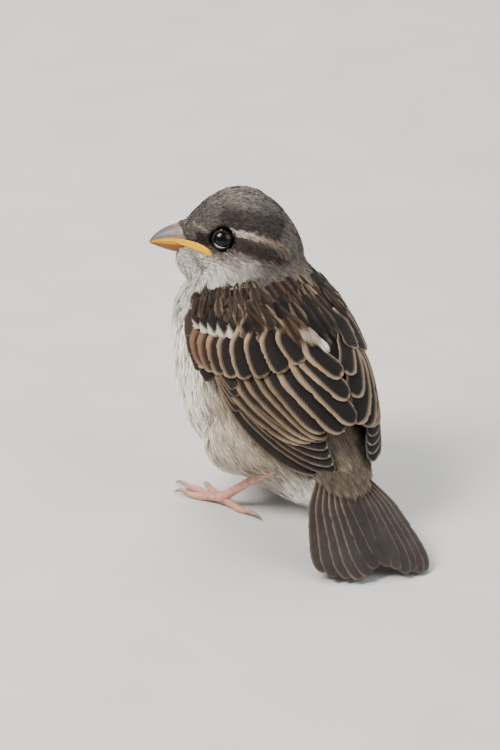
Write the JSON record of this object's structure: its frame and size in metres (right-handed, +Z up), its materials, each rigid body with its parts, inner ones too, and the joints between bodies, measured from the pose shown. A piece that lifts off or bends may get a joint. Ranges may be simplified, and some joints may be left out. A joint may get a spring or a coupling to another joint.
{
  "type": "house sparrow, juvenile, still model",
  "caption": "Juvenile house sparrow, life size, squatting plump on the ground with its head turned to its left, with a stout bill, yellow gape and folded brown wings.",
  "frame": {"origin": "under the middle of the bird's box, on the floor that the toes and the tail's tips stand on", "axes": "+X the bird's right, +Y the way its body faces, +Z up"},
  "size_m": [0.0466, 0.0928, 0.0768],
  "materials": {
    "plumage": "soft layered contour feathers, streaked grey-brown above and whitish below",
    "wing_coverts": "matt overlapping coverts, chestnut and dark brown with buff edges and a white bar",
    "flight_feathers": "matt blackish-brown vanes with buff edges",
    "tail_feathers": "matt dark brown vanes with thin buff edges",
    "bill_horn_upper": "smooth horn with a soft sheen",
    "bill_horn_lower": "smooth horn with a soft sheen",
    "gape_flange": "soft, slightly moist skin",
    "eye": "wet gloss",
    "leg_skin": "scaled skin with a faint sheen",
    "claw_horn": "smooth horn"
  },
  "bodies": {
    "root": {"head": "plumage", "neck": "plumage", "trunk": "plumage", "thigh_left": "plumage", "thigh_right": "plumage", "wing_left": "wing_coverts", "wing_right": "wing_coverts", "flight_feathers_left": "flight_feathers", "flight_feathers_right": "flight_feathers", "tail": "tail_feathers", "bill_upper": "bill_horn_upper", "bill_lower": "bill_horn_lower", "gape_left": "gape_flange", "gape_right": "gape_flange", "eye_left": "eye", "eye_right": "eye", "tarsus_left": "leg_skin", "tarsus_right": "leg_skin", "foot_left": "leg_skin", "foot_right": "leg_skin", "claw_left_inner": "claw_horn", "claw_left_middle": "claw_horn", "claw_left_outer": "claw_horn", "claw_left_hind": "claw_horn", "claw_right_inner": "claw_horn", "claw_right_middle": "claw_horn", "claw_right_outer": "claw_horn", "claw_right_hind": "claw_horn"}
  },
  "joints": []
}
